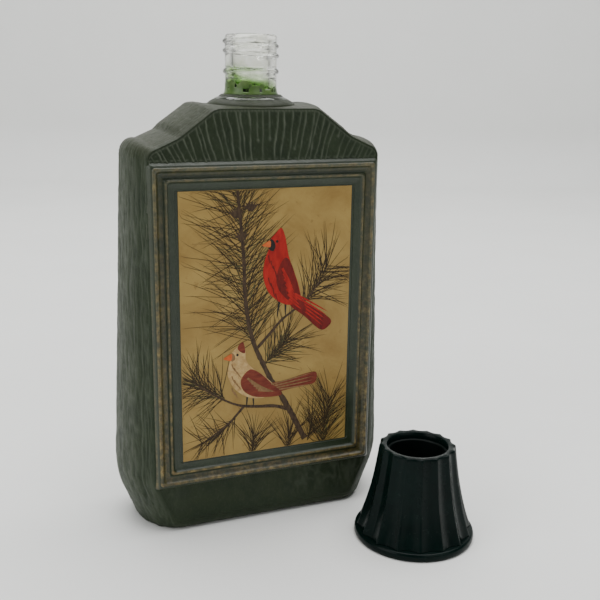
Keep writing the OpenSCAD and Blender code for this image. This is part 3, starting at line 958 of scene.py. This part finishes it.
stem = [(-11, 96), (-9.8, 84), (-8.8, 72), (-8.4, 60), (-7.2, 50), (-5, 41), (-1.5, 33), (2, 26), (6.5, 18.5),
        (10.5, 11), (15, 2)]
perch_high = [(-4.4, 39), (0.5, 44), (5.2, 49), (9.5, 52), (15, 56), (20.5, 63)]
perch_low = [(9, 14.5), (3, 16.6), (-4, 17.4), (-11, 18.8), (-18, 22.5), (-27, 29)]
low_twig = [(-9, 18), (-15, 12), (-23, 7)]
upper = stem[:6][::-1]
needle_rows = spray(upper, 170, (18, 78), (-62, -15), 20, 11)
needle_rows += spray(upper, 70, (70, 125), (-95, -40), 13, 12)
needle_rows += spray([(13, 54.5), (17, 58.5), (21, 64), (23, 68)], 80, (5, 65), (-80, -5), 15, 13)
needle_rows += spray([(-1, 33.5), (4, 38), (8, 42)], 60, (0, 60), (-65, 0), 13, 14)
needle_rows += spray([(-16, 22), (-22, 26), (-28, 30)], 74, (-75, 0), (0, 85), 13, 15)
needle_rows += spray([(-12, 14), (-18, 9), (-25, 6)], 56, (-100, 0), (0, 70), 10, 16)
needle_rows += spray([(-6, -2), (-5, 6)], 46, (0, 55), (-55, 0), 11, 17)
needle_rows += spray([(8, -2), (9, 5)], 34, (0, 50), (-50, 0), 12, 18)
needle_rows += spray([(22, -4), (23, 8), (25, 17)], 84, (5, 55), (-55, -5), 14, 19)
needle_rows += spray([(16, 1), (18, 7)], 30, (0, 45), (-45, 0), 13, 20)
olive_rows = spray(upper, 60, (10, 80), (-80, -10), 12, 21)
olive_rows += spray([(22, -4), (24, 12)], 40, (5, 55), (-55, -5), 13, 22)
olive_rows += spray([(-1, 33), (6, 41)], 26, (0, 70), (-70, 0), 9, 23)
olive_rows += spray([(-16, 22), (-27, 29)], 26, (-60, 0), (0, 70), 10, 24)
blades("picture_needles_olive", olive_rows, "olive", 1)
blades("picture_needles", needle_rows, "needle", 2)


# %% Twigs and birds
def smooth_line(points, closed=False, fineness=8):
    """A smooth line through the points, by cubic blending between neighbours."""
    p = np.array(points, float)
    n = len(p)
    out = []
    for i in range(n if closed else n - 1):
        a, b, c, d = (p[(i + k) % n] if closed else p[max(0, min(n - 1, i + k))] for k in (-1, 0, 1, 2))
        for t in np.arange(0, 1, 1 / fineness):
            out.append(0.5 * (2 * b + (c - a) * t + (2 * a - 5 * b + 4 * c - d) * t ** 2
                              + (3 * b - a - 3 * c + d) * t ** 3))
    if not closed:
        out.append(p[-1])
    return np.array(out)


def patch(name, points, colour, layer):
    """A flat printed shape inside a smooth closed line."""
    line = smooth_line(points, closed=True)
    bpy.ops.object.select_all(action="DESELECT")
    bpy.ops.mesh.primitive_circle_add(vertices=len(line), fill_type="NGON")
    piece = bpy.context.object
    piece.name = name
    for v, (x, z) in zip(piece.data.vertices, line):
        v.co = on_picture(x, z, layer)
    finish_layer(piece, colour)


def ribbon(name, points, wide, narrow, colour, layer):
    """A twig: a band along a smooth line that narrows from one end to the other."""
    line = smooth_line(points)
    step = np.gradient(line, axis=0)
    side = np.column_stack([-step[:, 1], step[:, 0]]) / np.hypot(*step.T)[:, None]
    width = np.linspace(wide, narrow, len(line)) / 2
    knots = np.array([1 + 0.25 * noise.noise(Vector((x * 0.9, z * 0.9, layer))) for x, z in line])
    left, right = (line + side * (s * width * knots)[:, None] for s in (1, -1))
    spots = [on_picture(x, z, layer) for x, z in np.concatenate([left, right])]
    n = len(line)
    print_layer(name, spots, [(i, i + 1, n + i + 1, n + i) for i in range(n - 1)], colour)


ribbon("picture_stem", stem, 1.0, 2.2, "bark", 3)
ribbon("picture_perch_high", perch_high, 1.2, 0.5, "bark", 3.2)
ribbon("picture_perch_low", perch_low, 1.5, 0.5, "bark", 3.4)
ribbon("picture_low_twig", low_twig, 1.0, 0.4, "bark", 3.6)
for i, (x, z) in enumerate([(-11.5, 88), (-6.2, 90), (-9.5, 80)]):
    scales = [(x, z - 1.2, 90 + lean, 3.6, 1.0, 0.05) for lean in range(-50, 51, 20)]
    blades(f"picture_cone_{i}", scales, "bark", 4)

patch("red_bird_tail", [
    (8.4, 58.6), (13, 56.2), (19.5, 51.5), (24.6, 47.4), (23.4, 44.8), (20.2, 44.2), (14, 49.8),
    (8.6, 54.2)], "dark_red", 5)
patch("red_bird_body", [
    (4.9, 82.4), (2.6, 80.3), (0.9, 78.4), (0.4, 75.4), (-1.2, 71), (-1.7, 65.8), (0, 60.2),
    (3.6, 56.4), (8.2, 54.4), (12.4, 55.8), (11.6, 61.5), (9.6, 67.2), (7.9, 72), (7, 76.4),
    (6.3, 79.6)], "red", 6)
patch("red_bird_wing", [
    (6.2, 71.6), (3.8, 67.4), (3.4, 62.4), (6.2, 57.6), (14.6, 51.2), (12.4, 58), (10.4, 65),
    (8.4, 70.2)], "dark_red", 7)
patch("red_bird_mask", [(1.1, 78.5), (0.1, 77), (0.5, 75), (2, 74.4), (2.8, 76.2), (2.1, 78)], "black", 8)
patch("red_bird_beak", [(0.9, 78), (-0.6, 77.6), (-2.1, 76.5), (-0.5, 76), (0.9, 75.9)], "orange", 9)
patch("red_bird_eye", [(3.4, 78.2), (2.9, 77.7), (3.4, 77.2), (3.9, 77.7)], "black", 9)
feathers = [(5.4 + 0.45 * k, 68 - 1.9 * k, -62 + 3 * k, 6.5, 0.9, 0.05) for k in range(7)]
blades("red_bird_feathers", feathers, "red", 8)
tail_lines = [(9.4 + 0.2 * k, 55.4 + 0.75 * k, -38 + 2.2 * k, 15.5, 0.7, -0.03) for k in range(5)]
blades("red_bird_tail_feathers", tail_lines, "red", 6.5)
breast = [(0.2 + 0.9 * (k % 4), 73 - 2.0 * k, -84 + 5 * (k % 3), 3.4, 0.5, 0.1) for k in range(8)]
blades("red_bird_breast", breast, "dark_red", 7)
blades("red_bird_legs", [(4.6, 57, -100, 7.4, 0.7, 0.03), (6.8, 55.6, -92, 5.2, 0.7, 0.03)], "black", 5.5)

patch("buff_bird_tail", [
    (0.6, 25.4), (7, 26.2), (14, 27.6), (18.8, 28), (19.4, 25.4), (17.6, 23.4), (9, 22.6),
    (1, 21.8)], "rust", 5)
patch("buff_bird_body", [
    (-9.2, 42.2), (-11.6, 40.4), (-13.4, 38.6), (-14.2, 35.2), (-14.9, 30.6), (-12.2, 25), (-6.8, 21.2),
    (-0.8, 20.6), (3, 23.6), (-0.6, 28.2), (-5.4, 32), (-8, 35.4), (-8.3, 39)], "buff", 6)
patch("buff_bird_wing", [
    (-6.6, 31.8), (-10, 28.2), (-8.8, 23.8), (-3.6, 21), (5.6, 20.8), (1.6, 25.6), (-2.6, 29.8)], "rust", 7)
patch("buff_bird_crest", [(-9.2, 42.4), (-11.2, 40.6), (-10.2, 38.8), (-8.4, 38.4)], "rust", 7)
patch("buff_bird_mask", [(-13.3, 38.6), (-14.1, 37), (-13.4, 35.6), (-12.2, 36.2), (-12.4, 37.8)], "brown", 8)
patch("buff_bird_beak", [(-13.4, 38.3), (-15, 37.8), (-16.4, 36.8), (-15, 36.2), (-13.6, 36)], "orange", 9)
patch("buff_bird_eye", [(-11.3, 38.3), (-11.8, 37.8), (-11.3, 37.3), (-10.8, 37.8)], "black", 9)
feathers = [(-7.6 + 0.8 * k, 28.6 - 1.0 * k, -38 + 5 * k, 6.6, 0.8, 0.04) for k in range(6)]
blades("buff_bird_feathers", feathers, "brown", 8)
tail_lines = [(1.6, 22.8 + 0.8 * k, 1 + 2.4 * k, 16.5, 0.6, 0.02) for k in range(4)]
blades("buff_bird_tail_feathers", tail_lines, "brown", 6.5)
breast = [(-13.4 + 0.9 * (k % 3), 34.6 - 1.5 * k, -74 + 6 * (k % 3), 3.2, 0.45, 0.1) for k in range(8)]
blades("buff_bird_breast", breast, "brown", 7)
blades("buff_bird_legs", [(-7.6, 22, -95, 4.6, 0.6, 0.02), (-5.4, 21.6, -88, 4.4, 0.6, 0.02)], "black", 5.5)

# %% [markdown]
# ## The cap
# The cap is four mouldings: the fluted shell, a disc that closes its wide end, the
# threaded insert and a soft liner that seals on the rim. The shell is bent from a grid
# like the coat, because its flutes fade and flare with its height; the others are turned.


# %% Fluted shell
def cap_radius(h):
    """The flared outside over the ribs: straight from the mouth, then curving out to the foot."""
    x = (CAP_HEIGHT - h) / (CAP_HEIGHT - SHELL_FOOT)
    return MOUTH_RADIUS + 4.2 * x + 2.85 * max(x, 0) ** 2.7


around = np.radians(np.arange(0, 360, 360 / 256))
valley = np.sqrt(np.sin(FLUTES / 2 * around) ** 2 + 0.002) - 0.03


def cap_ring(h, depth, shrink=0.0, radius=None):
    r = np.full(len(around), float(radius)) if radius else cap_radius(h) - shrink - depth * valley
    return np.column_stack([r * np.cos(around), r * np.sin(around), np.full(len(around), h)])


def flute(h):
    return 1.5 - 0.6 * h / CAP_HEIGHT


shell_low = SHELL_FOOT + 0.02
shell_rings = [cap_ring(shell_low, 0, radius=SEAT), cap_ring(shell_low, flute(SHELL_FOOT), 0.15)]
shell_rings += [cap_ring(h, flute(h)) for h in np.linspace(3.15, CAP_HEIGHT - 0.45, 34)]
shell_rings += [cap_ring(CAP_HEIGHT - 0.15, flute(33), 0.08), cap_ring(CAP_HEIGHT, flute(33), 0.35),
                cap_ring(CAP_HEIGHT, 0, radius=11.15), cap_ring(CAP_HEIGHT - 0.3, 0, radius=10.8),
                cap_ring(CAP_HEIGHT - 2.5, 0, radius=10.8), cap_ring(CAP_HEIGHT - 2.5, 0, radius=11.45),
                cap_ring(12.4, 0, radius=11.45)]
shell_rings += [cap_ring(h, 0, radius=cap_radius(h) - flute(h) - 2.2) for h in (11.8, 9, 7, 5)]
shell_rings += [cap_ring(4.42, 0, radius=SEAT), cap_ring(shell_low, 0, radius=SEAT)]
cap_shell = wrap_sheet("fluted_shell", shell_rings)
cap_shell.data.transform(Matrix.Translation(CAP_AT))
bpy.ops.object.shade_smooth_by_angle(angle=math.radians(50))
finish_piece(cap_shell, cap_plastic, "cap", "cap_shell")

# %% Disc, insert and liner
end_disc = turned("end_disc", [
    (0, 0.4), (18.0, 0.4), (18.3, 0.3), (18.6, 0.05), (18.9, 0), (20.7, 0), (21.2, 0.15), (21.5, 0.6),
    (21.6, 1.2), (21.5, 2.0), (21.3, 2.6), (21.0, 2.9), (20.6, 2.98), (17.55, 2.98), (17.55, 4.35),
    (16.2, 4.35), (16.2, 2.2), (15.9, 2), (0, 2)], CAP_AT, 128, 50)
finish_piece(end_disc, cap_plastic, "cap", "cap_end_disc")

insert_top = CAP_HEIGHT - 2.55
insert_profile = [(0, 12.42), (11.1, 12.42), (11.4, 12.7), (11.4, insert_top), (10.35, insert_top)]
insert_profile += [(10.05, z) for z in np.arange(insert_top - 0.3, 14.2, -0.25)] + [(10.05, 13.8), (0, 13.8)]
cap_insert = turned("threaded_insert", insert_profile, CAP_AT, 96, 60)
press_thread(cap_insert, 10.05, 9.2, 16.6, 0, tuple(CAP_AT))
finish_piece(cap_insert, insert_plastic, "cap", "cap_insert")

liner = turned("sealing_liner", [(0, 13.84), (9.6, 13.84), (9.9, 14.0), (9.9, 14.8), (9.7, 15.0), (8.9, 15.0),
                                 (8.6, 14.85), (6.6, 14.85), (6.2, 15.0), (0, 15.0)], CAP_AT, 96, 50)
finish_piece(liner, liner_foam, "liner", "cap_liner")
